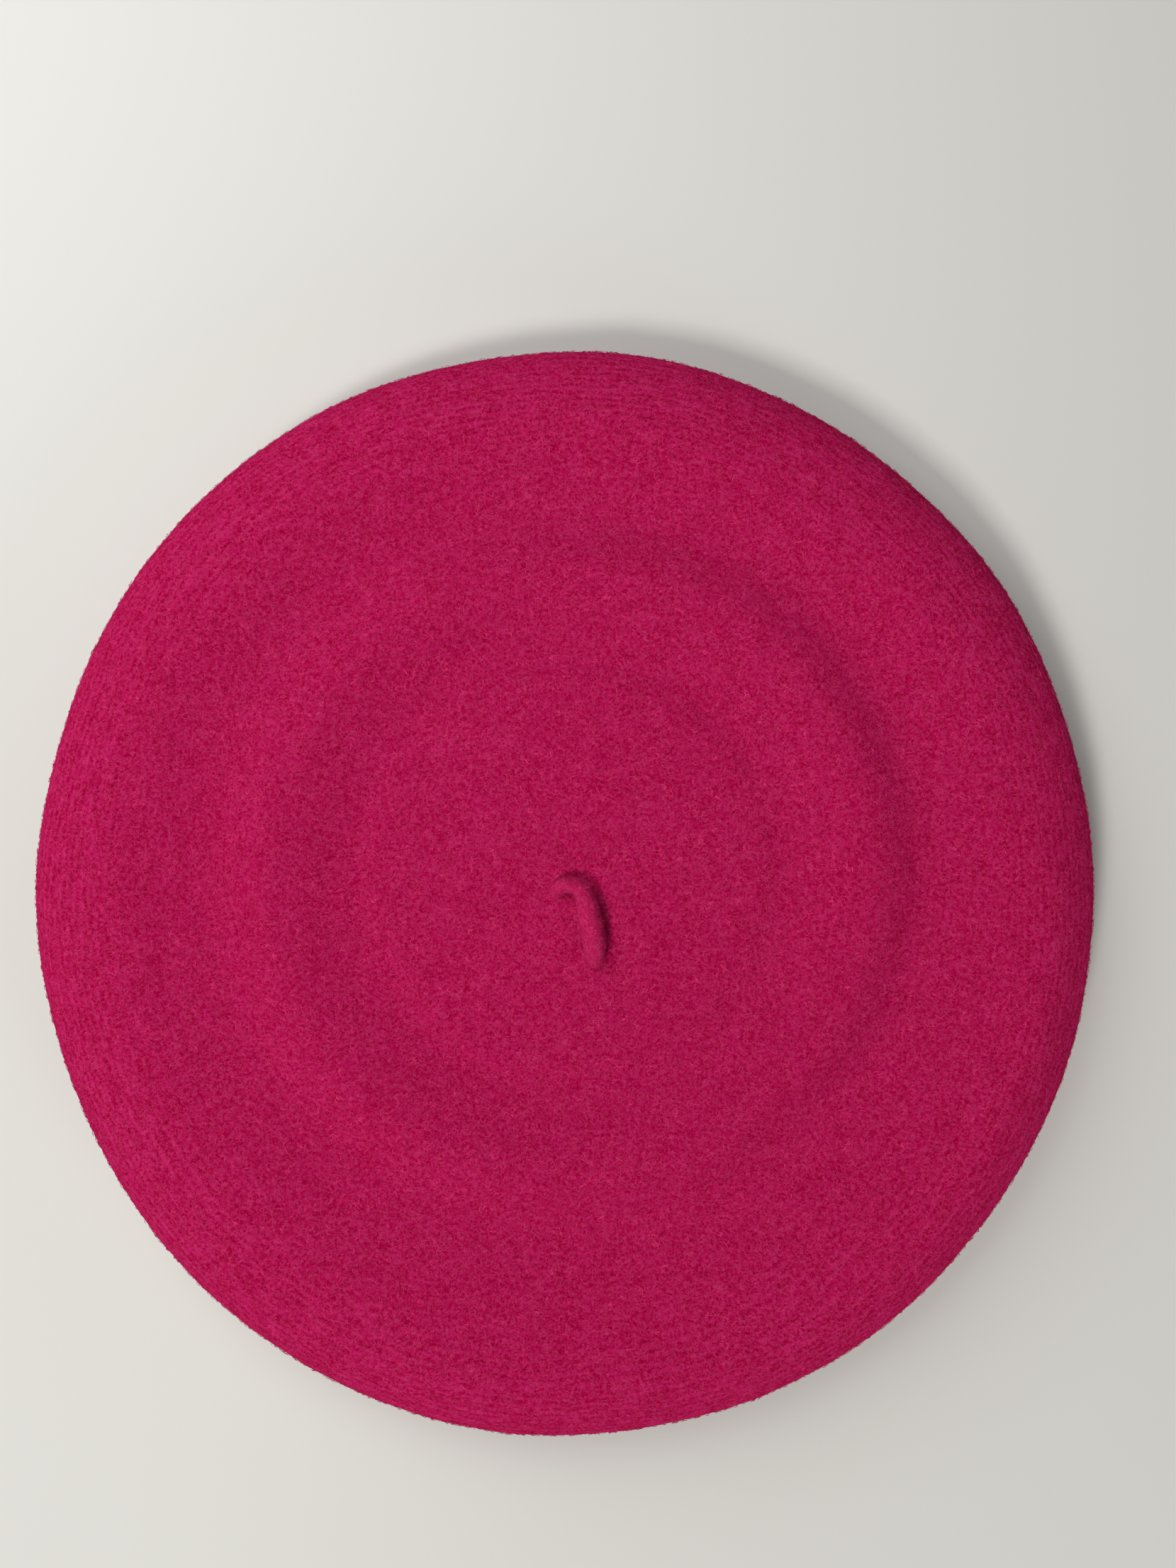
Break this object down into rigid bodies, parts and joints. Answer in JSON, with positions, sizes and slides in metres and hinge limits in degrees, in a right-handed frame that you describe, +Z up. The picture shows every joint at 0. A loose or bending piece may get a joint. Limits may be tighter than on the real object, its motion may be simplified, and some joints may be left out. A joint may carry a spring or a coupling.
{
  "type": "beret",
  "caption": "Round felted wool beret with a short curved stem on the crown, a leather sweatband round the head opening, a ribbon bow at the back and blank labels inside.",
  "frame": {"origin": "on the surface that the hat lies on, opening down, under the middle of the crown", "axes": "+Z up out of the crown, -Z out of the head opening, -Y towards the back of the hat, where the bow is, +X to the wearer's right when the hat is seen from above with the back near"},
  "size_m": [0.28, 0.28, 0.031],
  "materials": {
    "felt": "raspberry fulled wool, matt with a short nap",
    "leather": "tan, fine grain, satin",
    "cotton_tape": "natural cotton tape, ribbed",
    "thread": "dark raspberry sewing thread",
    "ribbon": "ribbed ribbon, slight sheen",
    "label": "woven satin, cream, blank"
  },
  "bodies": {
    "hat": {"felt_body": "felt", "stem_root": "felt", "stem_tack_stitches": "thread", "sweatband": "leather", "stay_tape": "cotton_tape", "sweatband_stitches": "thread", "sweatband_join_stitches": "thread", "back_bow": "ribbon", "back_bow_knot": "ribbon", "maker_label": "label", "maker_label_stitches": "thread"},
    "stem": {"stem": "felt"},
    "size_tab": {"size_tab": "label"},
    "care_label": {"care_label": "label"}
  },
  "joints": [
    {"name": "stem_lift", "type": "hinge", "parent": "hat", "child": "stem", "pos_m": [-0.0018, 0.0018, 0.0269], "axis": [-0.9027, -0.4302, 0], "range_deg": [0, 80]},
    {"name": "size_tab_flip", "type": "hinge", "parent": "hat", "child": "size_tab", "pos_m": [-0.05329, -0.06351, 0.0212], "axis": [0.766, -0.6428, 0], "range_deg": [-10, 90]},
    {"name": "care_label_flip", "type": "hinge", "parent": "hat", "child": "care_label", "pos_m": [0.04593, 0.07954, 0.0028], "axis": [0.866, -0.5, 0], "range_deg": [0, 40]}
  ]
}
